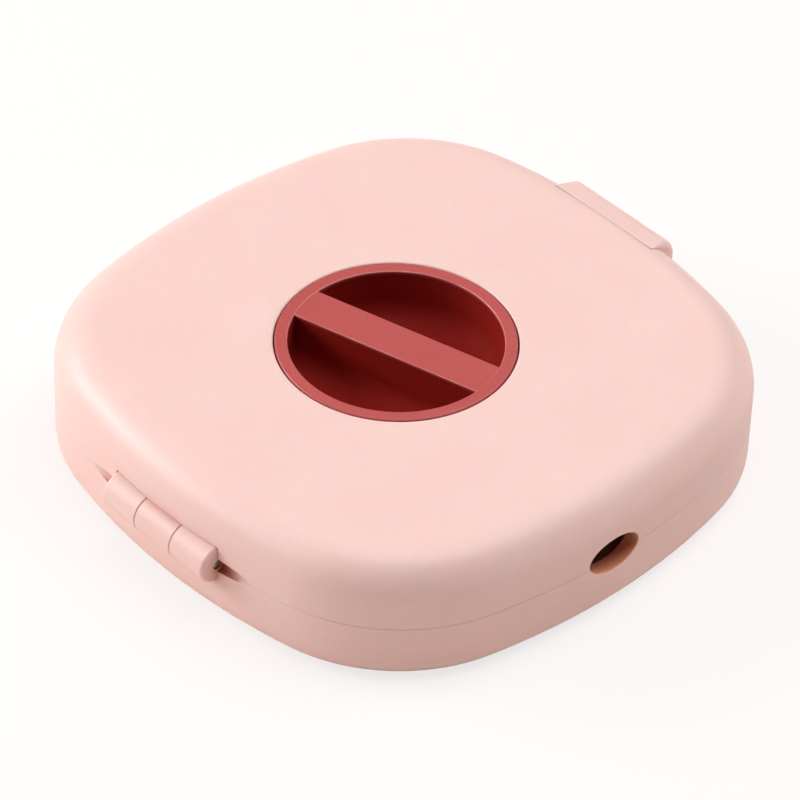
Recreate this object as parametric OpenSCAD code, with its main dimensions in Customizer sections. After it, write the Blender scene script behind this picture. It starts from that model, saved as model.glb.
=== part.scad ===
// Hinged cable winder case. Two shells close on a barrel hinge and a flip-up latch.
// A hand-turned reel stands on a post in the base, and its recessed finger grip fills
// a round opening in the lid. A cable leaves through an oval outlet in each side wall.
// The origin is under the middle of the case: +Z is up, and the hinge is on the -Y side.

/* [Case] */
// Width of the case across its bowed sides
case_w = 85; // [82:0.5:90]
// Height of the closed case
case_h = 18.7; // [18.5:0.1:20]
// Radius of the slow bow along each side, seen from above
side_r = 96; // [90:1:110]
// Radius of the case's corners, seen from above
corner_r = 25.3; // [23:0.1:27]
// Rounding along the lid's top edge
top_round = 5.8; // [5:0.1:6]
// Rounding along the base's lower edge
foot_round = 3; // [2.5:0.1:3.5]
// Thickness of the side walls
wall = 2.4; // [2.2:0.1:2.6]
// Thickness of the lid's roof and of the base's floor
plate = 2; // [1.8:0.1:2.2]
// Height of the base's rim, where the case opens
seam_z = 9; // [8.8:0.1:9.2]
// Gap between the base's rim and the lid
seam_gap = 0.15; // [0.1:0.05:0.2]
// Height of the tongue that stands up inside the base's rim
tongue_h = 1.2; // [0.8:0.1:1.4]

/* [Cable outlets] */
// Length of each oval outlet along the wall
outlet_w = 8.6; // [7:0.1:9]
// Height of each oval outlet
outlet_h = 5.2; // [4.8:0.1:5.6]
// Height of the outlets' centres
outlet_z = 9.4; // [9.2:0.1:9.6]

/* [Hinge] */
// Length of the whole hinge barrel
barrel_l = 20; // [17:0.2:21]
// Length of the lid's middle knuckle
knuckle_l = 6.8; // [5:0.2:8]
// Radius of the hinge barrel
barrel_r = 2.9; // [2.7:0.1:3]
// Distance of the hinge axis behind the middle of the case
hinge_back = 41.8; // [41.6:0.1:42]
// Height of the hinge axis
hinge_z = 9.2; // [9:0.1:9.4]
// Radius of the steel hinge pin
pin_r = 0.8; // [0.6:0.05:1]

/* [Latch] */
// Width of the latch clip
clip_w = 18.8; // [16:0.2:20]
// Distance of the clip's middle from the middle of its wall, towards -X
clip_shift = 1.2; // [0:0.1:2]
// Distance of the clip's outer face in front of the middle of the case
clip_face = 43.5; // [43.3:0.1:43.7]
// Height of the clip's lower lip above the table
clip_foot = 4.9; // [4.5:0.1:5.5]
// Thickness of the clip's plate
clip_t = 1.5; // [1.4:0.1:1.6]

/* [Reel] */
// Distance of the reel's axis behind the middle of the case
reel_back = 1.6; // [1.5:0.1:2]
// Radius of the two flanges
flange_r = 35; // [32:0.5:35.5]
// Thickness of each flange
flange_t = 1.2; // [1:0.1:1.4]
// Radius of the drum that the cable winds on
drum_r = 18; // [17.8:0.1:19]
// Width of the slot that holds the middle of the cable
slot_w = 5.5; // [5:0.1:5.8]
// Distance of that slot from the reel's axis
slot_off = 8.8; // [8.7:0.1:9.2]

/* [Grip] */
// Outer radius of the grip's rim
grip_r = 16.35; // [15.5:0.05:16.5]
// Width of the grip's rim
rim_w = 1.75; // [1.5:0.05:2.2]
// Width of the bar across the grip
bar_w = 6; // [5:0.1:7]
// Angle of the bar from the X axis, at rest
bar_turn = 15.5; // [0:0.5:30]
// Rounding between the bar's sides and the pockets' floor
bar_foot = 2.5; // [1:0.1:3]
// Depth of the two finger pockets
pocket_d = 7.7; // [7:0.1:7.8]
// Rounding between the pockets' wall and floor
pocket_round = 3; // [1:0.1:4]
// Gap around the grip at the lid's top face
lid_gap = 0.33; // [0.3:0.01:0.4]

/* [Hidden] */

case_pink = [0.95, 0.79, 0.75];
reel_red = [0.70, 0.30, 0.30];
steel = [0.72, 0.72, 0.74];

$fn = 96;
side_steps = 6;
corner_steps = 12;
round_steps = 6;
slack = 0.15;
past = 1;
hair = 0.01;
root = 0.5;

// Outline: four slow side arcs that run smoothly into four corner arcs
half_w = case_w / 2;
side_c = side_r - half_w;
corner_c = (sqrt(2 * pow(side_r - corner_r, 2) - side_c * side_c) - side_c) / 2;
side_turn = atan2(corner_c, corner_c + side_c);

// Seam: a tongue on the base stands in a rebate of the lid
lid_z = seam_z + seam_gap;
tongue_in = wall / 2 + slack / 2;
rebate_in = wall / 2 - slack / 2;
inner_round = top_round - wall;
floor_round = 1.2;

// Outlets
outlet_step = 7.5;

// Hinge
barrel_x = barrel_l / 2;
knuckle_x = knuckle_l / 2;
barrel_gap = 0.3;
pin_x = barrel_x - 0.4;
entry_r = 1.15;
entry_end_r = 0.55;
entry_l = 6.9;

// Latch: the clip hangs on a thin round edge that lies in a groove of the lid
slot_y = 38.3;
fold_r = 0.65;
fold_y = slot_y + slack + fold_r;
fold_z = case_h - 1.4;
plate_a = 56;
clip_round = 3;
clip_in = clip_face - clip_t;
clip_top = fold_z + fold_r;
clip_flare = 2.2;
clip_seat = 0.3;
seat_out = half_w + 3;
lip_out = 44.7;
lip_h = 0.7;
round_y = half_w - top_round;
round_z = case_h - top_round;
bead_z = 6.5;
bead_r = 0.25;
groove_r = 0.6;
groove_l = 13;

// Reel, from the floor up
reel_y = -reel_back;
flange_lift = 0.8;
lower_z = plate + flange_lift;
drum_z = lower_z + flange_t;
pocket_z = case_h - pocket_d;
cup_floor = 1.4;
cup_z = pocket_z - cup_floor;
drum_top = 13.6;
drum_floor = 0.8;
rib_t = 1.4;
tube_r = 7;
post_r = 3.2;
post_top = 7;
bearing_gap = 0.06;
well_r = 5.4;
well_drop = 0.1;
washer_r = 5;
washer_t = 0.5;
screw_r = 1;
screw_end = plate + 0.5;
head_z = post_top + washer_t;
head_r = 2.6;
head_top_r = 2;
head_h = 1.6;
cross_l = 3;
cross_w = 0.6;
cross_d = 0.9;
rail_r = 28;
rail_w = 1.2;
collar_h = 1.4;
collar_w = 1.5;
lid_draft = 0.37;

// Point of the case's outline where its wall faces the angle a, moved in by inset
function rim(a, inset) =
    let (q = floor((a + 45) / 90), u = a - 90 * q,
         p = abs(u) <= side_turn
             ? [-side_c, 0] + (side_r - inset) * [cos(u), sin(u)]
             : [corner_c, sign(u) * corner_c] + (corner_r - inset) * [cos(u), sin(u)])
    [cos(90 * q) * p.x - sin(90 * q) * p.y, sin(90 * q) * p.x + cos(90 * q) * p.y];

// The angles that the wall faces, going once round the case
facings = [for (q = [0:3]) each concat(
    [for (i = [0:side_steps - 1]) 90 * q + side_turn * (2 * i / side_steps - 1)],
    [for (i = [0:corner_steps - 1])
        90 * q + side_turn + (90 - 2 * side_turn) * i / corner_steps])];

// Points of an arc, from the angle a0 to the angle a1
function arc(centre, r, a0, a1, steps) =
    [for (i = [0:steps]) let (a = a0 + (a1 - a0) * i / steps) centre + r * [cos(a), sin(a)]];

// Rings [z, inset] of a rounded edge that ends at z_end: up for a top, down for a foot
function round_rings(z_end, r, inset, up) =
    [for (i = [0:round_steps]) let (a = 90 * (up ? i : round_steps - i) / round_steps)
        [z_end + (up ? -1 : 1) * r * (1 - sin(a)), inset + r * (1 - cos(a))]];

// Closed solid through rings of the case's outline
module loft(rings) {
    n = len(facings);
    last = len(rings) - 1;
    points = [for (ring = rings) for (a = facings)
        let (p = rim(a, ring[1])) [p.x, p.y, ring[0]]];
    sides = [for (k = [0:last - 1]) for (i = [0:n - 1])
        let (j = (i + 1) % n) [k * n + i, (k + 1) * n + i, (k + 1) * n + j, k * n + j]];
    polyhedron(points, concat(
        [[for (i = [0:n - 1]) i]],
        [[for (i = [n - 1:-1:0]) last * n + i]],
        sides));
}

// Round bar along the hinge's axis
module hinge_bar(r, x0, x1) {
    translate([x0, -hinge_back, hinge_z]) rotate([0, 90, 0]) cylinder(r = r, h = x1 - x0);
}

// Tapered groove at each end of the barrel, where the pin goes in
module pin_entries() {
    for (s = [0, 1]) mirror([s, 0, 0])
        translate([barrel_x - hair, -hinge_back, hinge_z]) rotate([0, 90, 0])
            cylinder(r1 = entry_r, r2 = entry_end_r, h = entry_l);
}

// Oval cut through both side walls
module outlet_cuts() {
    for (s = [0, 1]) mirror([s, 0, 0])
        translate([half_w - wall - past, reel_y, outlet_z]) rotate([90, 0, 90])
            linear_extrude(wall + 2 * past)
                polygon([for (a = [outlet_step:outlet_step:360])
                    [outlet_w / 2 * cos(a), outlet_h / 2 * sin(a)]]);
}

// Profile drawn as [y, z], made w wide and centred on the latch clip
module across(w) {
    translate([-clip_shift - w / 2, 0, 0]) rotate([90, 0, 90]) linear_extrude(w) children();
}

// Shallow seat that the latch clip lies in, cut into both shells
module clip_seat_cut() {
    seat_w = clip_w + 2 * clip_seat;
    seat_r = clip_in - clip_seat - round_y;
    slot_a = acos((slot_y - round_y) / seat_r);
    across(seat_w) polygon(concat(
        [[slot_y, case_h + past]],
        arc([round_y, round_z], seat_r, slot_a, 0, round_steps),
        [[clip_in - clip_seat, clip_foot - clip_seat],
         [seat_out, clip_foot - clip_seat],
         [seat_out, case_h + past]]));
    across(seat_w) translate([fold_y, fold_z]) circle(fold_r + slack);
}

// Ring on the reel's axis, standing on the height z
module reel_ring(z, h, r_out, r_in) {
    translate([0, reel_y, z]) difference() {
        cylinder(r = r_out, h = h);
        translate([0, 0, -past]) cylinder(r = r_in, h = h + 2 * past);
    }
}

module base_shell() {
    color(case_pink) difference() {
        union() {
            difference() {
                loft(concat(round_rings(0, foot_round, 0, false),
                    [[seam_z, 0], [seam_z, tongue_in], [seam_z + tongue_h, tongue_in]]));
                loft(concat(round_rings(plate, floor_round, wall, false),
                    [[seam_z + tongue_h + past, wall]]));
                hinge_bar(barrel_r + barrel_gap, -knuckle_x - slack, knuckle_x + slack);
                translate([-barrel_x - slack, -half_w, seam_z])
                    cube([barrel_l + 2 * slack, wall + past, tongue_h + past]);
            }
            for (s = [0, 1]) mirror([s, 0, 0])
                hinge_bar(barrel_r, knuckle_x + slack, barrel_x);
            translate([0, reel_y, plate - root]) cylinder(r = post_r, h = post_top - plate + root);
            reel_ring(plate - root, flange_lift - slack + root, rail_r + rail_w, rail_r);
        }
        hinge_bar(pin_r, -barrel_x - past, barrel_x + past);
        pin_entries();
        outlet_cuts();
        clip_seat_cut();
        across(groove_l) translate([clip_in - clip_seat, bead_z]) circle(groove_r);
        translate([0, reel_y, plate]) cylinder(r = screw_r, h = post_top);
    }
}

module lid_shell() {
    opening_z = case_h - plate - collar_h;
    opening_r = grip_r + lid_gap;
    color(case_pink) difference() {
        union() {
            difference() {
                loft(concat([[lid_z, 0]], round_rings(case_h, top_round, 0, true)));
                loft(concat(
                    [[lid_z - past, rebate_in], [seam_z + tongue_h + slack, rebate_in],
                     [seam_z + tongue_h + slack, wall]],
                    round_rings(case_h - plate, inner_round, wall, true)));
                for (s = [0, 1]) mirror([s, 0, 0])
                    hinge_bar(barrel_r + barrel_gap, knuckle_x, barrel_x + slack);
            }
            hinge_bar(barrel_r, -knuckle_x, knuckle_x);
            translate([0, reel_y, opening_z])
                cylinder(r = opening_r + lid_draft + collar_w, h = collar_h + root);
        }
        translate([0, reel_y, opening_z - past])
            cylinder(r = opening_r + lid_draft, h = past + hair);
        translate([0, reel_y, opening_z])
            cylinder(r1 = opening_r + lid_draft, r2 = opening_r, h = plate + collar_h);
        hinge_bar(pin_r + bearing_gap, -knuckle_x - past, knuckle_x + past);
        pin_entries();
        outlet_cuts();
        clip_seat_cut();
    }
}

module hinge_pin() {
    color(steel) hinge_bar(pin_r, -pin_x, pin_x);
}

module latch_clip() {
    in_r = clip_in - round_y;
    color(case_pink) {
        across(clip_w) polygon(concat(
            [[fold_y, clip_top]],
            arc([clip_face - clip_round, clip_top - clip_round], clip_round, 90, 0, round_steps),
            [[clip_face, clip_foot + clip_flare], [lip_out, clip_foot + lip_h],
             [lip_out, clip_foot], [clip_in, clip_foot]],
            arc([clip_in, bead_z], bead_r, -90, -270, round_steps),
            arc([round_y, round_z], in_r, 0, plate_a, round_steps),
            [[fold_y, fold_z]]));
        across(clip_w) translate([fold_y, fold_z]) circle(fold_r);
    }
}

module lower_flange() {
    color(reel_red) reel_ring(lower_z, flange_t, flange_r, post_r + bearing_gap);
}

// Upright rib inside the drum, from one corner to the opposite one
module drum_rib(from, to) {
    translate([from.x, reel_y + from.y, drum_z])
        cube([to.x - from.x, to.y - from.y, cup_z - drum_z]);
}

// Room for the middle of the cable, right across the drum
module cable_slot() {
    translate([-drum_r - past, reel_y + slot_off - slot_w / 2, drum_z + drum_floor])
        cube([2 * (drum_r + past), slot_w, drum_top]);
}

module reel_drum() {
    color(reel_red) difference() {
        union() {
            reel_ring(drum_z, drum_floor, drum_r, post_r + bearing_gap);
            reel_ring(drum_z, drum_top - drum_z, drum_r, grip_r);
            reel_ring(drum_z, cup_z - drum_z, tube_r, post_r + bearing_gap);
            intersection() {
                translate([0, reel_y, drum_z])
                    cylinder(r = (drum_r + grip_r) / 2, h = cup_z - drum_z);
                union() {
                    for (y = [slot_off - slot_w / 2 - rib_t, slot_off + slot_w / 2])
                        drum_rib([-drum_r, y], [drum_r, y + rib_t]);
                    for (x = [-tube_r, tube_r - rib_t])
                        drum_rib([x, -drum_r], [x + rib_t, -post_r]);
                }
            }
        }
        translate([0, reel_y, post_top - well_drop]) cylinder(r = well_r, h = drum_top);
        cable_slot();
    }
}

module upper_flange() {
    color(reel_red) reel_ring(drum_top, flange_t, flange_r, grip_r);
}

// Space of the round pocket, before the bar goes across it
module pocket_space() {
    r = grip_r - rim_w;
    translate([0, reel_y, 0]) rotate_extrude() polygon(concat(
        [[0, pocket_z]],
        arc([r - pocket_round, pocket_z + pocket_round], pocket_round, -90, 0, round_steps),
        [[r, case_h + past], [0, case_h + past]]));
}

module knob_cup() {
    color(reel_red) difference() {
        translate([0, reel_y, cup_z]) cylinder(r = grip_r, h = case_h - cup_z);
        pocket_space();
    }
}

// Section of the bar as [across, z], wider at its two feet
module bar_section() {
    foot_x = bar_w / 2 + bar_foot;
    foot_z = pocket_z + bar_foot;
    polygon(concat(
        [[-bar_w / 2, case_h]],
        arc([-foot_x, foot_z], bar_foot, 0, -90, round_steps),
        arc([foot_x, foot_z], bar_foot, 270, 180, round_steps),
        [[bar_w / 2, case_h]]));
}

module grip_bar() {
    color(reel_red) intersection() {
        pocket_space();
        translate([0, reel_y, 0]) rotate([0, 0, bar_turn])
            translate([-grip_r, 0, 0]) rotate([90, 0, 90]) linear_extrude(2 * grip_r)
                bar_section();
    }
}

module spindle_washer() {
    color(steel) reel_ring(post_top, washer_t, washer_r, screw_r);
}

module spindle_screw() {
    color(steel) translate([0, reel_y, 0]) {
        translate([0, 0, screw_end]) cylinder(r = screw_r, h = head_z - screw_end + root);
        difference() {
            translate([0, 0, head_z]) cylinder(r1 = head_r, r2 = head_top_r, h = head_h);
            for (turn = [0, 90]) rotate([0, 0, turn])
                translate([-cross_l / 2, -cross_w / 2, head_z + head_h - cross_d])
                    cube([cross_l, cross_w, past]);
        }
    }
}

base_shell();
lid_shell();
hinge_pin();
latch_clip();
lower_flange();
reel_drum();
upper_flange();
knob_cup();
grip_bar();
spindle_washer();
spindle_screw();
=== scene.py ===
"""Looks of a hinged cable winder case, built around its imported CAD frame.

Lengths are in millimetres while a piece is being made, and show() turns them into metres.
Sizes and places come from the CAD nodes' boxes where a box can give them, and otherwise
from the named values below. +Z is up, the hinge is on the -Y side, the latch on the +Y
side, and a cable outlet in each of the two other side walls.
"""

import math

import bmesh
import bpy
from mathutils import Matrix, Vector


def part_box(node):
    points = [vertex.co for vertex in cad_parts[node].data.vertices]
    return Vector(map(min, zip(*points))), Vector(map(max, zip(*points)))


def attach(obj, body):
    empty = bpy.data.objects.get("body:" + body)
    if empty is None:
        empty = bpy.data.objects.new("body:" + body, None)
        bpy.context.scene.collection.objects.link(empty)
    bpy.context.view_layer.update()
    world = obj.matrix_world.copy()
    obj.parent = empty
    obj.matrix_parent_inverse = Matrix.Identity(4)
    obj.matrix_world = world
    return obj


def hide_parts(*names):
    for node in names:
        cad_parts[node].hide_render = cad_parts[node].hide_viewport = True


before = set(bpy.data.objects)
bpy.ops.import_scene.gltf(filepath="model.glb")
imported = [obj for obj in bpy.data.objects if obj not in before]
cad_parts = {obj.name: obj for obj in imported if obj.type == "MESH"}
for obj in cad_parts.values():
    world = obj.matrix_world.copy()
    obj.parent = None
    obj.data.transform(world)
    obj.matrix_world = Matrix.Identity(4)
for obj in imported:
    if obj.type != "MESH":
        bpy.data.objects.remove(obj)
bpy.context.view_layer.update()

MM = 0.001


def box(node):
    """Lowest and highest corner of a CAD node, in millimetres."""
    low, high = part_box(node)
    return low / MM, high / MM


# --- Sizes and places -------------------------------------------------------------------
# A name that ends in _R is a radius; in _ROUND, _EDGE or _FILLET the radius of a rounding;
# in _X, _Y or _Z a place; in _IN an inset; in _W, _H or _L a width, height or length; in
# _TURN an angle in radians; and in _ARC an arc's first and last direction, in degrees, and
# its steps.

base_high = box("base_shell")[1]
lid_high = box("lid_shell")[1]
pin_low, pin_high = box("hinge_pin")
clip_low, clip_high = box("latch_clip")
lower_low, lower_high = box("lower_flange")
upper_low, upper_high = box("upper_flange")
cup_low, cup_high = box("knob_cup")
pocket_low = box("grip_bar")[0]
washer_low = box("spindle_washer")[0]

# Case
HALF_W = base_high.x
CASE_H = lid_high.z
SIDE_R = 96
CORNER_R = 25.3
TOP_ROUND = 5.8
FOOT_ROUND = 3
WALL = 2.4
PLATE = 2
INNER_ROUND = TOP_ROUND - WALL
FLOOR_ROUND = 1.2
ROUND_Y = HALF_W - TOP_ROUND
ROUND_Z = CASE_H - TOP_ROUND
SEAM_Z = 9
SEAM_GAP = 0.02
TONGUE_TOP = SEAM_Z + 1.2
SLACK = 0.15
TONGUE_IN = (WALL + SLACK) / 2
REBATE_IN = (WALL - SLACK) / 2
SEAM_EDGE = 0.05
TONGUE_EDGE = 0.15

# Step between two faces that would otherwise lie in one plane
HAIR = 0.01

# Radius of the tiny flat that closes a turned piece at its axis
TIP = 0.01

# How far a cutter reaches past the piece that it cuts
PAST = 1

# Hinge
HINGE_Y = (pin_low.y + pin_high.y) / 2
HINGE_Z = (pin_low.z + pin_high.z) / 2
PIN_R = (pin_high.z - pin_low.z) / 2
PIN_X = pin_high.x
PIN_RECESS = 0.4
PIN_SUNK = 0.12
PIN_DOME = 0.4
BARREL_X = PIN_X + PIN_RECESS
BARREL_R = 2.9
BARREL_ROUND = 0.5
KNUCKLE_X = 3.4
KNUCKLE_ROUND = 0.1
BARREL_GAP = 0.1
PIN_GAP = 0.06
ENTRY_R = 1.15
ENTRY_END_R = 0.55
ENTRY_L = 6.9
ENTRY_MARGIN = 0.05
ENTRY_FACING = 0.9

# Latch
CLIP_MID = (clip_low.x + clip_high.x) / 2
CLIP_HALF = (clip_high.x - clip_low.x) / 2
CLIP_TOP = clip_high.z
CLIP_FOOT = clip_low.z
LIP_OUT = clip_high.y
CLIP_OUTER = 43.5
CLIP_INNER = 42
CLIP_ROUND = 3
CLIP_EDGE = 0.12
CLIP_END_ROUND = 0.8
CLIP_END_DROP = 0.8
CLIP_SEAT = 0.3
CLIP_SIDE_GAP = 0.06
CLIP_ROOM = CLIP_HALF + CLIP_SIDE_GAP
SEAT_Y = CLIP_INNER - CLIP_SEAT
OVER_ARC = (75, 0, 10)
INNER_ARC = (0, 54, 12)

# The latch's back edge, which turns about the fold line
FOLD_IN = 0.65
FOLD_R = 0.74
FOLD_Y = clip_low.y + FOLD_IN
FOLD_Z = CLIP_TOP - FOLD_IN
FOLD_RISE = 0.2
SLOT_Y = clip_low.y - SLACK
BACK_Y = FOLD_Y - 0.5
BACK_Z = FOLD_Z + 1.03
BACK_ROUND = 0.22
FOLD_ARC = (345, 195, 10)
SWING_R = 1.27
SWING_ARC = (90, 205, 23)
GROOVE_R = 1.1

# The latch's lip, and its bead with the groove that faces it
LIP_H = 0.7
LIP_RAMP = 1.5
LIP_FILLET = 1.2
LIP_TOP_EDGE = 0.3
LIP_FOOT_EDGE = 0.25
LIP_IN_EDGE = 0.2
FACE_TOP = ROUND_Z - 2
BEAD_Z = 6.5
BEAD_R = 0.25
BEAD_ARC = (270, 90, 8)
BEAD_GROOVE_R = 0.6
BEAD_HALF = 6.5

# Outlets
REEL_Y = (cup_low.y + cup_high.y) / 2
OUTLET_Z = 9.4
OUTLET_A = 4.3
OUTLET_B = 2.6
OUTLET_LIP = 0.25
OUTLET_LIP_TURN = math.radians(75)
OUTLET_CUT = 0.08
OUTLET_FLARE = 0.9
OUTLET_FLARE_L = 1.5

# Reel
FLANGE_R = lower_high.x
FLANGE_EDGE = 0.3
GRIP_R = cup_high.x
CUP_EDGE = 0.3
RIM_EDGE = 0.25
RIM_W = 1.75
POCKET_R = GRIP_R - RIM_W
POCKET_FLOOR = pocket_low.z
POCKET_ROUND = 3
POCKET_MARGIN = 0.1
TOP_FACING = 0.92
EDGE_FACING = 0.3
BAR_W = 6
BAR_TURN = math.radians(15.5)
BAR_FOOT = 2.5
BAR_DROP = 0.06
BAR_SUNK = 0.05
BAR_END_ROUND = 0.12
GRIP_EDGE = 0.22

# What guides the reel: post and rail on the base, collar round the lid's opening
POST_R = 3.2
POST_TOP = washer_low.z
POST_GAP = 0.06
POST_FILLET = 0.6
POST_EDGE = 0.3
SCREW_R = 1
SCREW_EDGE = 0.1
RAIL_R = 28
RAIL_W = 1.2
RAIL_TOP = lower_low.z - SLACK
RAIL_EDGE = 0.2
LID_GAP = 0.15
LID_DRAFT = 0.37
LID_EDGE = 0.3
COLLAR_W = 1.5
COLLAR_H = 1.4
COLLAR_EDGE = 0.2
COLLAR_FILLET = 0.5

# Flat strips of mesh beside the fillets
WALL_STRIP = 1
FLOOR_STRIP = 0.5
OPENING_STRIP = 1.5
RAIL_STRIP = 0.8
POST_STRIP = 1

# Steps of the meshes
SIDE_STEPS = 24
CORNER_STEPS = 30
TURN_STEPS = 96
REEL_STEPS = 2 * TURN_STEPS
PIN_STEPS = TURN_STEPS // 2
ARC_STEPS = 5
FINE_ARC_STEPS = 8
SHOULDER_STEPS = 16
OUTLET_STEPS = 72
OUTLET_LIP_STEPS = 6
SEAT_STEPS = 12
GROOVE_STEPS = 48
BEAD_GROOVE_STEPS = 32
CLIP_END_STEPS = 10
ROOF_STEPS = 6
UNDERSIDE_STEPS = 3
INSIDE_STEPS = 4
UNDERSIDE_RADII = (1.5, 8, 18, 28)
SHARP_ANGLE = math.radians(34)
WELD = 0.001


# --- Outline of the case ----------------------------------------------------------------

SIDE_C = SIDE_R - HALF_W
CORNER_C = (math.sqrt(2 * (SIDE_R - CORNER_R) ** 2 - SIDE_C**2) - SIDE_C) / 2
SIDE_TURN = math.atan2(CORNER_C, CORNER_C + SIDE_C)
QUARTER = math.pi / 2


def polar(radius, angle):
    """Flat vector of that length and direction."""
    return Vector((radius * math.cos(angle), radius * math.sin(angle)))


def rim(angle, inset=0.0):
    """Point of the case's outline where its wall faces that angle, moved in by inset."""
    quarter = math.floor(angle / QUARTER + 0.5)
    turn = angle - quarter * QUARTER
    if abs(turn) <= SIDE_TURN:
        point = Vector((-SIDE_C, 0)) + polar(SIDE_R - inset, turn)
    else:
        centre = Vector((CORNER_C, math.copysign(CORNER_C, turn)))
        point = centre + polar(CORNER_R - inset, turn)
    point.rotate(Matrix.Rotation(quarter * QUARTER, 2))
    return point


def facings():
    """The angles that the wall faces, once round the case."""
    angles = []
    for quarter in range(4):
        middle = quarter * QUARTER
        for i in range(SIDE_STEPS):
            angles.append(middle + SIDE_TURN * (2 * i / SIDE_STEPS - 1))
        for i in range(CORNER_STEPS):
            share = i / CORNER_STEPS
            angles.append(middle + SIDE_TURN + (QUARTER - 2 * SIDE_TURN) * share)
    return angles


FACINGS = facings()


def wall_at(across):
    """Distance of a side wall's outer face from the middle, at a place along the wall."""
    return math.sqrt(SIDE_R**2 - across**2) - SIDE_C


# --- Rings and profiles -----------------------------------------------------------------


def outline_ring(inset, z):
    """Ring along the case's outline."""
    return [Vector((*rim(angle, inset), z)) for angle in FACINGS]


def reel_ring(radius, z):
    """Ring round the reel's axis whose points face those of an outline ring."""
    centre = Vector((0, REEL_Y))
    points = [centre + (rim(angle) - centre).normalized() * radius for angle in FACINGS]
    return [Vector((*point, z)) for point in points]


def between(first, last, count):
    """The rings that share the way from one ring to another, without those two."""
    return [
        [a.lerp(b, i / count) for a, b in zip(first, last)] for i in range(1, count)
    ]


def arc(centre, radius, first, last, steps):
    """Flat arc round a centre, from one direction to another in degrees."""
    angles = [first + (last - first) * i / steps for i in range(steps + 1)]
    return [centre + polar(radius, math.radians(angle)) for angle in angles]


def circle(centre, radius, steps):
    """Flat circle round a centre."""
    return [centre + polar(radius, 2 * math.pi * i / steps) for i in range(steps)]


def rounded(corners, steps=ARC_STEPS):
    """Flat path through corners (a, b, radius), with an arc at each that has a radius."""
    path = []
    for i, (a, b, radius) in enumerate(corners):
        here = Vector((a, b))
        if not radius:
            path.append(here)
            continue
        back = (Vector(corners[i - 1][:2]) - here).normalized()
        ahead = (Vector(corners[(i + 1) % len(corners)][:2]) - here).normalized()
        half = back.angle(ahead) / 2
        centre = here + (back + ahead).normalized() * radius / math.sin(half)
        start = here + back * radius / math.tan(half) - centre
        end = here + ahead * radius / math.tan(half) - centre
        sweep = math.pi - 2 * half
        for k in range(steps + 1):
            t = k / steps * sweep
            point = start * math.sin(sweep - t) + end * math.sin(t)
            path.append(centre + point / math.sin(sweep))
    return path


def ring_mesh(name, rings, closed=False):
    """Object whose surface runs through rings of points. Open ends get a cap."""
    mesh = bpy.data.meshes.new(name)
    size = len(rings[0])
    count = len(rings)
    faces = []
    for k in range(count if closed else count - 1):
        this, following = k * size, (k + 1) % count * size
        for i in range(size):
            j = (i + 1) % size
            faces.append((this + i, this + j, following + j, following + i))
    if not closed:
        faces.append(tuple(reversed(range(size))))
        faces.append(tuple(range((count - 1) * size, count * size)))
    mesh.from_pydata([point for ring in rings for point in ring], [], faces)
    piece = bpy.data.objects.new(name, mesh)
    bpy.context.scene.collection.objects.link(piece)
    face_outwards(piece)
    return piece


def face_outwards(piece):
    """Turns every face of a closed mesh outwards."""
    work = bmesh.new()
    work.from_mesh(piece.data)
    bmesh.ops.recalc_face_normals(work, faces=work.faces)
    if work.calc_volume(signed=True) < 0:
        bmesh.ops.reverse_faces(work, faces=work.faces)
    work.to_mesh(piece.data)
    work.free()


def turned(name, profile, closed=False, steps=TURN_STEPS):
    """Solid of revolution round the Z axis, from (radius, z) points."""
    rings = [
        [
            Vector((*polar(radius, 2 * math.pi * i / steps), z))
            for i in range(steps)
        ]
        for radius, z in profile
    ]
    return ring_mesh(name, rings, closed)


def move(piece, matrix):
    """Moves a piece's own points."""
    piece.data.transform(matrix)
    return piece


def onto_reel(piece):
    """Moves a turned piece onto the reel's axis."""
    return move(piece, Matrix.Translation((0, REEL_Y, 0)))


def onto_hinge(piece):
    """Lays a turned piece along the hinge's axis, its Z towards +X."""
    place = Matrix.Translation((0, HINGE_Y, HINGE_Z))
    return move(piece, place @ Matrix.Rotation(QUARTER, 4, "Y"))


def mirrored_if(piece, wanted):
    """Moves a piece to its mirror image beyond the YZ plane, if that is wanted."""
    if wanted:
        move(piece, Matrix.Scale(-1, 4, (1, 0, 0)))
        face_outwards(piece)
    return piece


def combine(piece, operation, *tools):
    """Joins tools to a piece, or cuts them out of it, and removes them."""
    for tool in tools:
        modifier = piece.modifiers.new(operation, "BOOLEAN")
        modifier.operation = operation
        modifier.solver = "MANIFOLD"
        modifier.object = tool
        with bpy.context.temp_override(object=piece, active_object=piece):
            bpy.ops.object.modifier_apply(modifier=modifier.name)
        bpy.data.objects.remove(tool)
    return piece


def prism(name, profile, half_length, middle=0.0):
    """Bar along X with a (y, z) profile, centred on that x."""
    ends = (middle - half_length, middle + half_length)
    return ring_mesh(name, [[Vector((x, y, z)) for y, z in profile] for x in ends])


# --- Finishing a piece ------------------------------------------------------------------


def shade(piece):
    """Welds slivers, then shades smoothly with breaks at the sharp edges."""
    work = bmesh.new()
    work.from_mesh(piece.data)
    bmesh.ops.remove_doubles(work, verts=work.verts, dist=WELD)
    bmesh.ops.dissolve_degenerate(work, edges=work.edges, dist=WELD)
    for face in work.faces:
        face.smooth = True
    for edge in work.edges:
        edge.smooth = not edge.is_manifold or edge.calc_face_angle() < SHARP_ANGLE
    work.to_mesh(piece.data)
    work.free()
    normals = piece.modifiers.new("normals", "WEIGHTED_NORMAL")
    normals.keep_sharp = True


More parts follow.
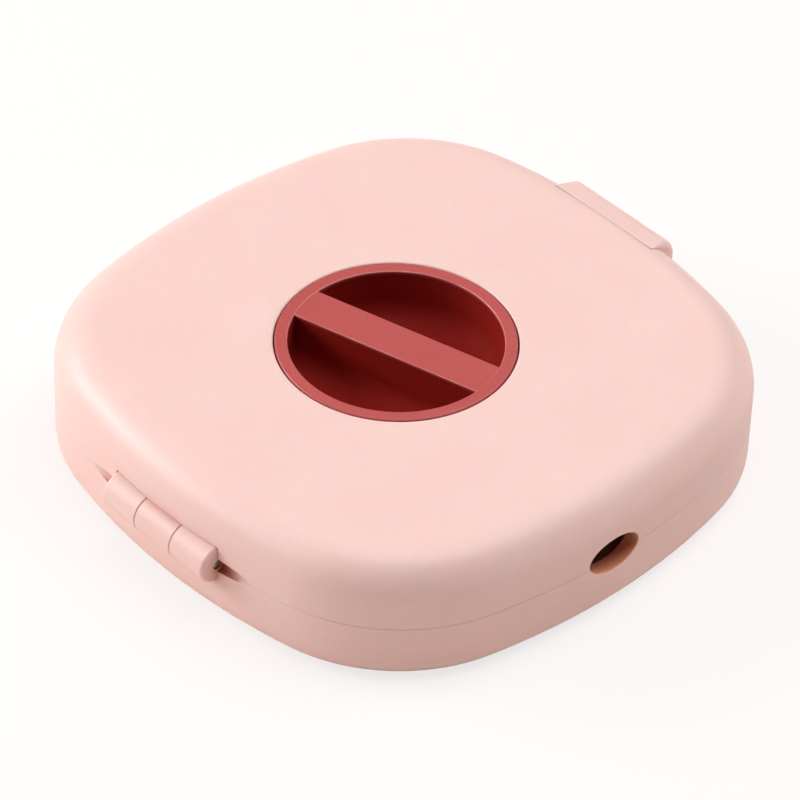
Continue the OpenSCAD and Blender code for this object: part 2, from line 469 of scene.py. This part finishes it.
def in_pin_entry(face):
    """Whether a face lies in one of the tapered grooves beside the hinge's barrel."""
    share = (abs(face.center.x) - BARREL_X) / ENTRY_L
    reach = Vector((face.center.y - HINGE_Y, face.center.z - HINGE_Z))
    radius = ENTRY_R + (ENTRY_END_R - ENTRY_R) * share
    on_cone = abs(reach.length - radius) < ENTRY_MARGIN
    faces_axis = face.normal.yz.dot(reach) < -ENTRY_FACING * reach.length
    return 0 < share < 1 and on_cone and faces_axis


def in_outlet(face):
    """Whether a face lies inside one of the oval cable outlets."""
    across = (face.center.y - REEL_Y) / (OUTLET_A + OUTLET_CUT)
    up = (face.center.z - OUTLET_Z) / (OUTLET_B + OUTLET_CUT)
    return math.hypot(across, up) < 1 and abs(face.center.x) > HALF_W - 2 * WALL


def shell_material(face):
    """Material of a shell's face: 1 in an outlet, 2 in a pin entry, 0 elsewhere."""
    if in_outlet(face):
        return 1
    return 2 if in_pin_entry(face) else 0


def grip_material(face):
    """Material of the grip's face: 1 down in the pockets, 2 on the pockets' edges."""
    reach = (face.center - Vector((0, REEL_Y, 0))).xy.length
    if reach > POCKET_R + GRIP_EDGE or face.center.z < POCKET_FLOOR - POCKET_MARGIN:
        return 0
    if face.normal.z > TOP_FACING and face.center.z > CASE_H - GRIP_EDGE:
        return 0
    on_edge = face.normal.z > EDGE_FACING and face.center.z > CASE_H - GRIP_EDGE - BAR_DROP
    return 2 if on_edge else 1


def show(piece, body, node, materials, choose=None):
    """Turns a finished piece into metres and puts it in its CAD node's place."""
    piece.data.materials.clear()
    for material in materials:
        piece.data.materials.append(material)
    for face in piece.data.polygons:
        face.material_index = choose(face) if choose else 0
    shade(piece)
    piece.data.transform(Matrix.Scale(MM, 4))
    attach(piece, body)
    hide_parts(node)


# --- Materials --------------------------------------------------------------------------


def linear(red, green, blue):
    """Linear colour of a screen colour given from 0 to 255."""
    def channel(value):
        share = value / 255
        return share / 12.92 if share <= 0.04045 else ((share + 0.055) / 1.055) ** 2.4

    return (channel(red), channel(green), channel(blue), 1)


# Colours of the finishes, each with the ones that its clouds, speckles or depths mix in; the
# crevice, cut, pocket and edge colours are painted shade, glow and highlights
CASE_PINK = linear(247, 212, 204)
CASE_PINK_DUSTY = linear(245, 207, 199)
CASE_SPECKLE = linear(240, 201, 192)
# Painted warm shade for the case's creases and hollows
CASE_CREVICE_SHADE = linear(196, 96, 58)
# Painted warm glow of light through the cut plastic, and painted shade deeper in the cut
CUT_GLOW = linear(237, 172, 142)
CUT_GLOW_DUSTY = linear(232, 162, 130)
CUT_DEPTH_SHADE = linear(212, 100, 56)
REEL_RED = linear(196, 92, 89)
REEL_RED_DUSTY = linear(190, 87, 84)
REEL_SPECKLE = linear(180, 78, 76)
# Painted shade deep in the grip's pockets
POCKET_SHADE_RED = linear(146, 31, 25)
# Painted highlights along the pockets' edges
EDGE_SOFT_HIGHLIGHT = linear(204, 104, 100)
EDGE_HIGHLIGHT = linear(226, 132, 128)
STEEL_LIGHT = linear(196, 197, 200)
STEEL_DARK = linear(168, 169, 174)
FLOOR_PALE = linear(253, 240, 234)
FLOOR_DUSTY = linear(251, 238, 232)
WHITE = (1, 1, 1, 1)

# Rays that look for neighbours, for the painted shade in creases and hollows
AO_SAMPLES = 8


class Finish:
    """A material, with short ways to add nodes to it."""

    def __init__(self, name, **values):
        self.material = bpy.data.materials.new(name)
        self.material.use_nodes = True
        self.tree = self.material.node_tree
        self.shader = self.tree.nodes["Principled BSDF"]
        for socket, value in values.items():
            self.shader.inputs[socket.replace("_", " ")].default_value = value
        place = self.add("ShaderNodeTexCoord")
        self.place = place.outputs["Object"]

    def add(self, kind, inputs=None, **settings):
        """New node with those settings, whose inputs are values or other sockets."""
        node = self.tree.nodes.new(kind)
        for name, value in settings.items():
            setattr(node, name, value)
        for name, value in (inputs or {}).items():
            self.feed(node.inputs[name], value)
        return node

    def feed(self, socket, value):
        """Links a socket to another, or sets its value."""
        if isinstance(value, bpy.types.NodeSocket):
            self.tree.links.new(value, socket)
        else:
            socket.default_value = value

    def noise(self, size, detail=2.0, stretch=None):
        """Noise from 0 to 1 whose patches are about size millimetres across."""
        place = self.place
        if stretch:
            mapping = self.add("ShaderNodeMapping", {"Vector": place, "Scale": stretch})
            place = mapping.outputs["Vector"]
        inputs = {"Vector": place, "Scale": 1 / (size * MM), "Detail": detail}
        return self.add("ShaderNodeTexNoise", inputs).outputs["Fac"]

    def ranged(self, value, low, high, from_low=0.3, from_high=0.7):
        """Value spread from low to high."""
        inputs = {
            "Value": value,
            "From Min": from_low,
            "From Max": from_high,
            "To Min": low,
            "To Max": high,
        }
        return self.add("ShaderNodeMapRange", inputs).outputs["Result"]

    def painted_shade(self, distance, low, high, only_local=True):
        """Share of painted shade: from 0 out in the open to 1 in a crevice, looking that many
        millimetres round.
        """
        kind, inputs = "ShaderNodeAmbientOcclusion", {"Distance": distance * MM}
        node = self.add(kind, inputs, samples=AO_SAMPLES, only_local=only_local)
        return self.ranged(node.outputs["AO"], 1, 0, from_low=low, from_high=high)

    def mixed(self, share, first, second):
        """Colour between two others, through the Mix node's numbered colour sockets."""
        node = self.add("ShaderNodeMix", data_type="RGBA")
        self.feed(node.inputs[0], share)
        self.feed(node.inputs[6], first)
        self.feed(node.inputs[7], second)
        return node.outputs[2]

    def bump(self, height, distance, strength=1.0, under=None):
        """Normal of a surface whose height varies by that many millimetres."""
        inputs = {"Height": height, "Distance": distance * MM, "Strength": strength}
        if under:
            inputs["Normal"] = under
        return self.add("ShaderNodeBump", inputs).outputs["Normal"]

    def surface(self, colour, rough, normal):
        """Feeds the shader its colour, roughness and normal, and gives the material."""
        self.feed(self.shader.inputs["Base Color"], colour)
        self.feed(self.shader.inputs["Roughness"], rough)
        self.feed(self.shader.inputs["Normal"], normal)
        return self.material


def case_plastic(name, only_local=True):
    """Pale pink moulded plastic with a fine spark-eroded grain, and warm painted shade in its
    creases and hollows.
    """
    finish = Finish(
        name,
        Subsurface_Weight=0.22,
        Subsurface_Radius=(1.0, 0.4, 0.28),
        Subsurface_Scale=1.0 * MM,
        Specular_IOR_Level=0.5,
    )
    clouds = finish.ranged(finish.noise(size=14, detail=3), low=0, high=1)
    speckles = finish.ranged(finish.noise(size=0.35), low=0, high=0.35)
    # Painted shade: a warmer, darker colour where neighbouring surfaces hem a point in
    crevice_shade = finish.painted_shade(distance=4, low=0.25, high=0.9, only_local=only_local)
    colour = finish.mixed(clouds, CASE_PINK, CASE_PINK_DUSTY)
    colour = finish.mixed(speckles, colour, CASE_SPECKLE)
    colour = finish.mixed(crevice_shade, colour, CASE_CREVICE_SHADE)
    rough = finish.ranged(finish.noise(size=6, detail=3), low=0.4, high=0.46)
    waves = finish.bump(finish.noise(size=9), distance=0.02, strength=0.5)
    pits = finish.noise(size=0.22, detail=3)
    grain = finish.bump(pits, distance=0.006, strength=0.5, under=waves)
    return finish.surface(colour, rough, grain)


def cut_glow_plastic():
    """The same plastic where it is cut through: a painted warm glow for light shining through
    it, and painted shade deeper in.
    """
    finish = Finish(
        "cut_glow_plastic",
        Subsurface_Weight=0.3,
        Subsurface_Radius=(1.0, 0.35, 0.2),
        Subsurface_Scale=1.0 * MM,
        Specular_IOR_Level=0.2,
    )
    clouds = finish.ranged(finish.noise(size=3, detail=3), low=0, high=1)
    # Painted shade deeper in the cut, from the parts round it
    depth = finish.painted_shade(distance=6, low=0.3, high=0.9, only_local=False)
    colour = finish.mixed(clouds, CUT_GLOW, CUT_GLOW_DUSTY)
    colour = finish.mixed(depth, colour, CUT_DEPTH_SHADE)
    rough = finish.ranged(finish.noise(size=2, detail=3), low=0.5, high=0.62)
    grain = finish.bump(finish.noise(size=0.25, detail=3), distance=0.008, strength=0.6)
    return finish.surface(colour, rough, grain)


def reel_colour(finish):
    """Dusty red with soft clouds and fine speckles."""
    clouds = finish.ranged(finish.noise(size=8, detail=3), low=0, high=1)
    speckles = finish.ranged(finish.noise(size=0.3), low=0, high=0.5)
    colour = finish.mixed(clouds, REEL_RED, REEL_RED_DUSTY)
    return finish.mixed(speckles, colour, REEL_SPECKLE)


def reel_plastic():
    """Satin dusty red plastic of the reel and of the grip's top."""
    finish = Finish(
        "reel_plastic",
        Subsurface_Weight=0.05,
        Subsurface_Radius=(1.0, 0.3, 0.25),
        Subsurface_Scale=0.5 * MM,
        Specular_IOR_Level=0.5,
    )
    rough = finish.ranged(finish.noise(size=4, detail=3), low=0.38, high=0.46)
    waves = finish.bump(finish.noise(size=5), distance=0.015, strength=0.4)
    pits = finish.noise(size=0.2, detail=3)
    grain = finish.bump(pits, distance=0.006, strength=0.6, under=waves)
    return finish.surface(reel_colour(finish), rough, grain)


def pocket_shade_plastic():
    """The same plastic deep in the finger pockets: dull, and darkened to a fuller red by
    painted shade.
    """
    finish = Finish(
        "pocket_shade_plastic",
        Subsurface_Weight=0.05,
        Subsurface_Radius=(1.0, 0.2, 0.15),
        Subsurface_Scale=0.5 * MM,
        Specular_IOR_Level=0.08,
    )
    height = finish.add("ShaderNodeSeparateXYZ", {"Vector": finish.place}).outputs["Z"]
    shallow, deep = (CASE_H - 0.2) * MM, (CASE_H - 0.6) * MM
    # Painted shade: a darker, fuller red from just below the rim down
    depth = finish.ranged(height, low=1, high=0, from_low=deep, from_high=shallow)
    colour = finish.mixed(depth, reel_colour(finish), POCKET_SHADE_RED)
    rough = finish.ranged(finish.noise(size=3, detail=3), low=0.62, high=0.74)
    grain = finish.bump(finish.noise(size=0.25, detail=3), distance=0.008, strength=0.6)
    return finish.surface(colour, rough, grain)


def edge_highlight_plastic():
    """The same plastic on the pockets' edges: glossier, and lighter in blotches with a painted
    highlight.
    """
    finish = Finish("edge_highlight_plastic", Specular_IOR_Level=0.6)
    # Painted highlight in blotches along the edges
    highlight_blotches = finish.ranged(finish.noise(size=1.5, detail=3), low=0, high=1)
    colour = finish.mixed(highlight_blotches, EDGE_HIGHLIGHT, EDGE_SOFT_HIGHLIGHT)
    rough = finish.ranged(finish.noise(size=1, detail=3), low=0.26, high=0.36)
    grain = finish.bump(finish.noise(size=0.2, detail=3), distance=0.003, strength=0.5)
    return finish.surface(colour, rough, grain)


def steel(name, stretch):
    """Bright steel with fine lines drawn along it or turned round it."""
    finish = Finish(name, Metallic=1.0)
    drawn = finish.noise(size=0.3, detail=4, stretch=stretch)
    colour = finish.mixed(drawn, STEEL_LIGHT, STEEL_DARK)
    rough = finish.ranged(finish.noise(size=0.6, detail=3, stretch=stretch), low=0.34, high=0.5)
    return finish.surface(colour, rough, finish.bump(drawn, distance=0.01, strength=0.4))


# --- Case shells ------------------------------------------------------------------------


def hinge_bar(name, radius, start, end, start_round=0.0, end_round=0.0):
    """Bar along the hinge's axis, from one x to another, with rounded ends."""
    profile = rounded([
        (TIP, start, 0),
        (radius, start, start_round),
        (radius, end, end_round),
        (TIP, end, 0),
    ])
    return onto_hinge(turned(name, profile))


def pin_entry(side):
    """Tapered groove beside one end of the barrel, where the pin goes in."""
    profile = [(ENTRY_R, BARREL_X - HAIR), (ENTRY_END_R, BARREL_X + ENTRY_L)]
    groove = onto_hinge(turned("entry", profile))
    return mirrored_if(groove, side < 0)


def outlet_stations():
    """How far an outlet flares out at each depth from the wall's face, from inside out."""
    stations = [
        (OUTLET_FLARE, WALL + OUTLET_FLARE_L),
        (OUTLET_LIP / 2, WALL + HAIR),
        (0, WALL - OUTLET_LIP),
    ]
    for i in range(OUTLET_LIP_STEPS + 1):
        angle = OUTLET_LIP_TURN * i / OUTLET_LIP_STEPS
        flare = OUTLET_LIP * (1 - math.cos(angle))
        stations.append((flare, OUTLET_LIP * (1 - math.sin(angle))))
    flare, depth = stations[-1]
    stations.append((flare + (depth + PAST) * math.tan(OUTLET_LIP_TURN), -PAST))
    return stations


def outlet_cutter(side):
    """Oval cut through a side wall whose mouth flares out with a rounded lip."""
    rings = []
    for flare, depth in outlet_stations():
        ring = []
        for i in range(OUTLET_STEPS):
            angle = 2 * math.pi * i / OUTLET_STEPS
            y = REEL_Y + (OUTLET_A + flare) * math.cos(angle)
            z = OUTLET_Z + (OUTLET_B + flare) * math.sin(angle)
            ring.append(Vector((wall_at(y) - depth, y, z)))
        rings.append(ring)
    return mirrored_if(ring_mesh("outlet", rings), side < 0)


def clip_seat_cutters():
    """Seat that the latch clip lies in, and the room that its back edge turns in."""
    seat_r = SEAT_Y - ROUND_Y
    top, foot = CASE_H + PAST, CLIP_FOOT - CLIP_SEAT
    outside = HALF_W + 3 * PAST
    first = math.acos((SLOT_Y - ROUND_Y) / seat_r)
    profile = [Vector((SLOT_Y, top))]
    for i in range(SEAT_STEPS + 1):
        angle = first * (1 - i / SEAT_STEPS)
        profile.append(Vector((ROUND_Y, ROUND_Z)) + polar(seat_r, angle))
    profile += [Vector((SEAT_Y, foot)), Vector((outside, foot)), Vector((outside, top))]
    seat = prism("seat", profile, CLIP_ROOM, CLIP_MID)
    fold = Vector((FOLD_Y, FOLD_Z))
    groove = prism("groove", circle(fold, GROOVE_R, GROOVE_STEPS), CLIP_ROOM, CLIP_MID)
    swing = [fold, *arc(fold, SWING_R, *SWING_ARC)]
    room = prism("room", swing, CLIP_ROOM, CLIP_MID)
    return seat, groove, room


def bead_groove():
    """Shallow groove in the base that the clip's bead faces."""
    section = circle(Vector((SEAT_Y, BEAD_Z)), BEAD_GROOVE_R, BEAD_GROOVE_STEPS)
    return prism("bead_groove", section, BEAD_HALF, CLIP_MID)


def relief(start, end):
    """Room round a stretch of the hinge's barrel."""
    return hinge_bar("relief", BARREL_R + BARREL_GAP, start, end)


def finish_shell(shell, bore_r):
    """Cuts that both shells share: hinge bore, pin entries, outlets and clip seat."""
    bore_end = BARREL_X + 2 * PAST
    combine(shell, "DIFFERENCE", hinge_bar("bore", bore_r, -bore_end, bore_end))
    for side in (1, -1):
        combine(shell, "DIFFERENCE", pin_entry(side), outlet_cutter(side))
    combine(shell, "DIFFERENCE", *clip_seat_cutters())


def lid_shell():
    """Lid: roof, rounded shoulder, wall, rebate, drafted opening and middle knuckle."""
    lid_z = SEAM_Z + SEAM_GAP
    ceiling = CASE_H - PLATE
    rebate_z = TONGUE_TOP + SLACK
    wall_path = rounded([
        (WALL + INNER_ROUND + WALL_STRIP, ceiling, 0),
        (WALL, ceiling, INNER_ROUND),
        (WALL, rebate_z, SEAM_EDGE),
        (REBATE_IN, rebate_z, 0),
        (REBATE_IN, lid_z, SEAM_EDGE),
        (0, lid_z, SEAM_EDGE),
        (0, CASE_H, 0),
    ])[:-1]
    shoulder = []
    for i in range(SHOULDER_STEPS + 1):
        angle = QUARTER * i / SHOULDER_STEPS
        inset = TOP_ROUND * (1 - math.cos(angle))
        shoulder.append(Vector((inset, CASE_H - TOP_ROUND * (1 - math.sin(angle)))))
    outer = [outline_ring(*point) for point in [*wall_path, *shoulder]]
    opening_r = GRIP_R + LID_GAP
    foot_r = opening_r + LID_DRAFT
    collar_r = foot_r + COLLAR_W
    collar_z = ceiling - COLLAR_H
    opening_path = rounded([
        (opening_r + OPENING_STRIP, CASE_H, 0),
        (opening_r, CASE_H, LID_EDGE),
        (foot_r, collar_z, COLLAR_EDGE),
        (collar_r, collar_z, COLLAR_EDGE),
        (collar_r, ceiling, COLLAR_FILLET),
        (collar_r + OPENING_STRIP, ceiling, 0),
    ])
    opening = [reel_ring(*point) for point in opening_path]
    roof = between(outer[-1], opening[0], ROOF_STEPS)
    under = between(opening[-1], outer[0], ROOF_STEPS)
    lid = ring_mesh("lid", outer + roof + opening + under, closed=True)
    for side in (1, -1):
        room = relief(KNUCKLE_X + HAIR, BARREL_X + SLACK)
        combine(lid, "DIFFERENCE", mirrored_if(room, side < 0))
    knuckle = hinge_bar(
        "knuckle", BARREL_R, -KNUCKLE_X, KNUCKLE_X, KNUCKLE_ROUND, KNUCKLE_ROUND
    )
    combine(lid, "UNION", knuckle)
    finish_shell(lid, PIN_R + PIN_GAP)
    return lid


def tongue_cut():
    """Cut that ends the seam's tongue at both sides of the hinge's barrel."""
    outside, inside = -HALF_W - PAST, -HALF_W + WALL + PAST
    above = TONGUE_TOP + PAST
    section = [(outside, SEAM_Z), (inside, SEAM_Z), (inside, above), (outside, above)]
    return prism("tongue_cut", section, BARREL_X + SLACK)


def base_shell():
    """Base: floor, foot, wall, tongue, rail, post and the two outer knuckles."""
    foot = [reel_ring(radius, 0) for radius in UNDERSIDE_RADII]
    wall_path = rounded([
        (FOOT_ROUND + WALL_STRIP, 0, 0),
        (0, 0, FOOT_ROUND),
        (0, SEAM_Z, SEAM_EDGE),
        (TONGUE_IN, SEAM_Z, SEAM_EDGE),
        (TONGUE_IN, TONGUE_TOP, TONGUE_EDGE),
        (WALL, TONGUE_TOP, TONGUE_EDGE),
        (WALL, PLATE, FLOOR_ROUND),
        (WALL + FLOOR_ROUND + FLOOR_STRIP, PLATE, 0),
    ], steps=FINE_ARC_STEPS)
    outer = [outline_ring(*point) for point in wall_path]
    post_path = rounded([
        (RAIL_R + RAIL_W + RAIL_STRIP, PLATE, 0),
        (RAIL_R + RAIL_W, PLATE, RAIL_EDGE),
        (RAIL_R + RAIL_W, RAIL_TOP, RAIL_EDGE),
        (RAIL_R, RAIL_TOP, RAIL_EDGE),
        (RAIL_R, PLATE, RAIL_EDGE),
        (RAIL_R - RAIL_STRIP, PLATE, 0),
        (RAIL_R / 2, PLATE, 0),
        (POST_R + POST_STRIP, PLATE, 0),
        (POST_R, PLATE, POST_FILLET),
        (POST_R, POST_TOP, POST_EDGE),
        (SCREW_R, POST_TOP, SCREW_EDGE),
        (SCREW_R, PLATE, 0),
    ])
    inner = [reel_ring(*point) for point in post_path]
    underside = between(foot[-1], outer[0], UNDERSIDE_STEPS)
    inside = between(outer[-1], inner[0], INSIDE_STEPS)
    base = ring_mesh("base", foot + underside + outer + inside + inner)
    combine(base, "DIFFERENCE", relief(-KNUCKLE_X - SLACK, KNUCKLE_X + SLACK))
    combine(base, "DIFFERENCE", tongue_cut())
    start = KNUCKLE_X + SLACK + HAIR
    for side in (1, -1):
        knuckle = hinge_bar(
            "knuckle", BARREL_R, start, BARREL_X, KNUCKLE_ROUND, BARREL_ROUND
        )
        combine(base, "UNION", mirrored_if(knuckle, side < 0))
    finish_shell(base, PIN_R)
    combine(base, "DIFFERENCE", bead_groove())
    return base


def hinge_pin():
    """Steel pin whose domed ends come almost out of the barrel."""
    end = BARREL_X - PIN_SUNK
    profile = rounded([
        (TIP, -end, 0),
        (PIN_R, -end, PIN_DOME),
        (PIN_R, end, PIN_DOME),
        (TIP, end, 0),
    ])
    return onto_hinge(turned("pin", profile, steps=PIN_STEPS))


# --- Latch clip -------------------------------------------------------------------------


def clip_profile():
    """Section of the clip as (y, z), from its fold over the top and face to the inside."""
    fold = Vector((FOLD_Y, FOLD_Z))
    over = Vector((CLIP_OUTER - CLIP_ROUND, CLIP_TOP - CLIP_ROUND))
    shoulder = Vector((ROUND_Y, ROUND_Z))
    bead = Vector((CLIP_INNER, BEAD_Z))
    over_arc = arc(over, CLIP_ROUND, *OVER_ARC)
    path = arc(fold, FOLD_R, *FOLD_ARC)
    path += rounded([
        (FOLD_Y - FOLD_R, FOLD_Z + FOLD_RISE, 0),
        (BACK_Y, BACK_Z, BACK_ROUND),
        (*over_arc[0], 0),
    ])[:-1]
    path += over_arc
    path += rounded([
        (CLIP_OUTER, FACE_TOP, 0),
        (CLIP_OUTER, CLIP_FOOT + LIP_H + LIP_RAMP, LIP_FILLET),
        (LIP_OUT, CLIP_FOOT + LIP_H, LIP_TOP_EDGE),
        (LIP_OUT, CLIP_FOOT, LIP_FOOT_EDGE),
        (CLIP_INNER, CLIP_FOOT, LIP_IN_EDGE),
        (CLIP_INNER, BEAD_Z - BEAD_GROOVE_R, 0),
    ])
    path += arc(bead, BEAD_R, *BEAD_ARC)
    path += arc(shoulder, CLIP_INNER - ROUND_Y, *INNER_ARC)
    return path


def proud_of_case(point):
    """How far a point of the clip's section stands out of the case, and the way back in."""
    if point.y > ROUND_Z:
        back = Vector((ROUND_Y, ROUND_Z)) - point
        return back.length - TOP_ROUND, back.normalized()
    return point.x - HALF_W, Vector((-1, 0))


def clip_ring(profile, side, angle):
    """Ring of the clip's section at one end: drawn in at angle 0, full at a quarter turn."""
    ring = []
    for i, point in enumerate(profile):
        along = profile[(i + 1) % len(profile)] - profile[i - 1]
        inwards = Vector((along.y, -along.x)).normalized() * CLIP_EDGE
        proud, back = proud_of_case(point)
        share = max(0.0, min(1.0, proud))
        drop = (inwards + back * share * CLIP_END_DROP) * (1 - math.sin(angle))
        length = CLIP_EDGE + CLIP_END_ROUND * share
        x = CLIP_HALF - length * (1 - math.cos(angle))
        ring.append(Vector((CLIP_MID + side * x, *(point + drop))))
    return ring


def latch_clip():
    """Latch clip: its section carried across, with its outer side rounded at both ends."""
    profile = clip_profile()
    angles = [QUARTER * k / CLIP_END_STEPS for k in range(CLIP_END_STEPS + 1)]
    rings = [clip_ring(profile, -1, angle) for angle in angles]
    rings += [clip_ring(profile, 1, angle) for angle in reversed(angles)]
    return ring_mesh("clip", rings)


# --- Reel -------------------------------------------------------------------------------


def flange(name, low, high, bore):
    """Flat ring with rounded edges."""
    profile = rounded([
        (bore, low, FLANGE_EDGE / 2),
        (FLANGE_R, low, FLANGE_EDGE),
        (FLANGE_R, high, FLANGE_EDGE),
        (bore, high, FLANGE_EDGE / 2),
    ])
    return onto_reel(turned(name, profile, closed=True, steps=REEL_STEPS))


def knob_cup():
    """Cup of the finger grip: rim, curved pocket wall, floor and outer wall."""
    profile = rounded([
        (TIP, cup_low.z, 0),
        (GRIP_R, cup_low.z, CUP_EDGE),
        (GRIP_R, CASE_H, RIM_EDGE),
        (POCKET_R, CASE_H, GRIP_EDGE),
        (POCKET_R, POCKET_FLOOR, POCKET_ROUND),
        (TIP, POCKET_FLOOR, 0),
    ], steps=FINE_ARC_STEPS)
    return onto_reel(turned("cup", profile, steps=REEL_STEPS))


def pocket_plug():
    """Solid that fills the cup's pocket and reaches a little into its wall and floor."""
    radius = POCKET_R + BAR_SUNK
    floor_z = POCKET_FLOOR - BAR_SUNK
    profile = rounded([
        (TIP, floor_z, 0),
        (radius, floor_z, POCKET_ROUND),
        (radius, CASE_H, BAR_END_ROUND),
        (TIP, CASE_H, 0),
    ], steps=FINE_ARC_STEPS)
    return onto_reel(turned("plug", profile, steps=REEL_STEPS))


def grip_bar():
    """Bar across the pocket, almost flush with the rim, with soft edges and wide feet."""
    top = CASE_H - BAR_DROP
    half, foot = BAR_W / 2, BAR_W / 2 + BAR_FOOT + PAST
    floor_z, low = POCKET_FLOOR - BAR_SUNK / 2, POCKET_FLOOR - PAST
    profile = rounded([
        (-foot, low, 0),
        (-foot, floor_z, 0),
        (-half, floor_z, BAR_FOOT),
        (-half, top, GRIP_EDGE),
        (half, top, GRIP_EDGE),
        (half, floor_z, BAR_FOOT),
        (foot, floor_z, 0),
        (foot, low, 0),
    ], steps=FINE_ARC_STEPS)
    bar = prism("bar", profile, GRIP_R)
    place = Matrix.Translation((0, REEL_Y, 0)) @ Matrix.Rotation(BAR_TURN, 4, "Z")
    return combine(move(bar, place), "INTERSECT", pocket_plug())


# --- The whole object -------------------------------------------------------------------

case_finish = case_plastic("case_plastic")
# The pin entries' painted shade also counts neighbouring parts
groove_finish = case_plastic("groove_plastic", only_local=False)
shell_finishes = [case_finish, cut_glow_plastic(), groove_finish]
reel_finish = reel_plastic()
grip_finishes = [reel_finish, pocket_shade_plastic(), edge_highlight_plastic()]
drawn_steel = steel("drawn_steel", (1, 12, 12))
turned_steel = steel("turned_steel", (12, 12, 1))

show(lid_shell(), "lid", "lid_shell", shell_finishes, shell_material)
show(base_shell(), "base", "base_shell", shell_finishes, shell_material)
show(latch_clip(), "latch", "latch_clip", [case_finish])
show(hinge_pin(), "base", "hinge_pin", [drawn_steel])
lower = flange("flange_low", lower_low.z, lower_high.z, POST_R + POST_GAP)
show(lower, "reel", "lower_flange", [reel_finish])
upper = flange("flange_high", upper_low.z, upper_high.z, GRIP_R)
show(upper, "reel", "upper_flange", [reel_finish])
show(knob_cup(), "reel", "knob_cup", grip_finishes, grip_material)
show(grip_bar(), "reel", "grip_bar", grip_finishes, grip_material)

for node, material in (
    ("reel_drum", reel_finish),
    ("spindle_washer", turned_steel),
    ("spindle_screw", turned_steel),
):
    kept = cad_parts[node]
    kept.data.materials.clear()
    kept.data.materials.append(material)


# --- Floor, light and camera ------------------------------------------------------------


def direction(azimuth, elevation):
    """Direction from the object to a viewer or a light, in degrees."""
    a, e = math.radians(azimuth), math.radians(elevation)
    return Vector((math.sin(a) * math.cos(e), -math.cos(a) * math.cos(e), math.sin(e)))


def floor():
    """Plain pale floor that glows to the camera, so that it shows only a faint shadow."""
    half_side, drop = 6000 * MM, 0.05 * MM
    near, far, near_share = 300 * MM, 1200 * MM, 0.75
    corners = [(-1, -1), (1, -1), (1, 1), (-1, 1)]
    points = [(x * half_side, y * half_side, -drop) for x, y in corners]
    mesh = bpy.data.meshes.new("floor")
    mesh.from_pydata(points, [], [(0, 1, 2, 3)])
    plane = bpy.data.objects.new("floor", mesh)
    bpy.context.scene.collection.objects.link(plane)
    finish = Finish("floor", Roughness=0.9, Specular_IOR_Level=0.1)
    tone = finish.mixed(finish.noise(size=60, detail=3), FLOOR_PALE, FLOOR_DUSTY)
    finish.feed(finish.shader.inputs["Base Color"], tone)
    seen = finish.add("ShaderNodeLightPath").outputs["Is Camera Ray"]
    away = finish.add("ShaderNodeVectorMath", {0: finish.place}, operation="LENGTH")
    away_share = finish.ranged(away.outputs["Value"], near_share, 1, near, far)
    share = finish.add("ShaderNodeMath", {0: seen, 1: away_share}, operation="MULTIPLY")
    glow = finish.add("ShaderNodeEmission", {"Color": WHITE, "Strength": 1.0})
    both = finish.add("ShaderNodeMixShader", {0: share.outputs["Value"]})
    finish.feed(both.inputs[1], finish.shader.outputs["BSDF"])
    finish.feed(both.inputs[2], glow.outputs["Emission"])
    output = finish.tree.nodes["Material Output"].inputs["Surface"]
    finish.feed(output, both.outputs["Shader"])
    mesh.materials.append(finish.material)


def soft_light(name, azimuth, elevation, distance, size, power):
    """Large square lamp that faces the middle of the object."""
    data = bpy.data.lights.new(name, "AREA")
    data.size = size
    data.energy = power
    lamp = bpy.data.objects.new(name, data)
    lamp.location = direction(azimuth, elevation) * distance
    lamp.rotation_euler = direction(azimuth, elevation).to_track_quat("Z", "Y").to_euler()
    bpy.context.scene.collection.objects.link(lamp)


def surroundings(strength):
    """White room: a weak even light from all round, in front of a white backdrop."""
    world = bpy.data.worlds.new("studio")
    world.use_nodes = True
    tree = world.node_tree
    background = tree.nodes["Background"]
    background.inputs["Color"].default_value = WHITE
    seen = tree.nodes.new("ShaderNodeLightPath").outputs["Is Camera Ray"]
    brightness = tree.nodes.new("ShaderNodeMapRange")
    brightness.inputs["To Min"].default_value = strength
    brightness.inputs["To Max"].default_value = 1.0
    tree.links.new(seen, brightness.inputs["Value"])
    tree.links.new(brightness.outputs["Result"], background.inputs["Strength"])
    bpy.context.scene.world = world


def camera():
    """Camera with a long lens, above and to the right of the hinge."""
    azimuth, elevation, distance = 46.105, 40.678, 633.8
    aim = Vector((1.23, -1.71, 9.0))
    roll = math.radians(1.98)
    data = bpy.data.cameras.new("camera")
    data.sensor_width = 36
    data.lens = 211.2
    data.clip_start, data.clip_end = 0.01, 100
    eye = bpy.data.objects.new("camera", data)
    back = direction(azimuth, elevation)
    eye.location = (aim + back * distance) * MM
    turn = back.to_track_quat("Z", "Y").to_matrix() @ Matrix.Rotation(roll, 3, "Z")
    eye.rotation_euler = turn.to_euler()
    bpy.context.scene.collection.objects.link(eye)
    bpy.context.scene.camera = eye


# Name, azimuth and elevation in degrees, distance and size in metres, power in watts
LAMPS = (
    ("key", -60, 25, 0.9, 0.4, 4.9),
    ("fill", -30, 30, 0.9, 0.4, 1.7),
    ("side", 100, 20, 0.9, 0.4, 0.3),
    ("back", 155, 60, 1.2, 0.8, 6.7),
    ("low_back", 180, 40, 1.2, 0.8, 2.2),
    ("overhead", 45, 88, 1.2, 0.6, 4.0),
)

floor()
surroundings(strength=0.04)
for lamp_values in LAMPS:
    soft_light(*lamp_values)
camera()
bpy.context.scene.view_settings.view_transform = "Standard"
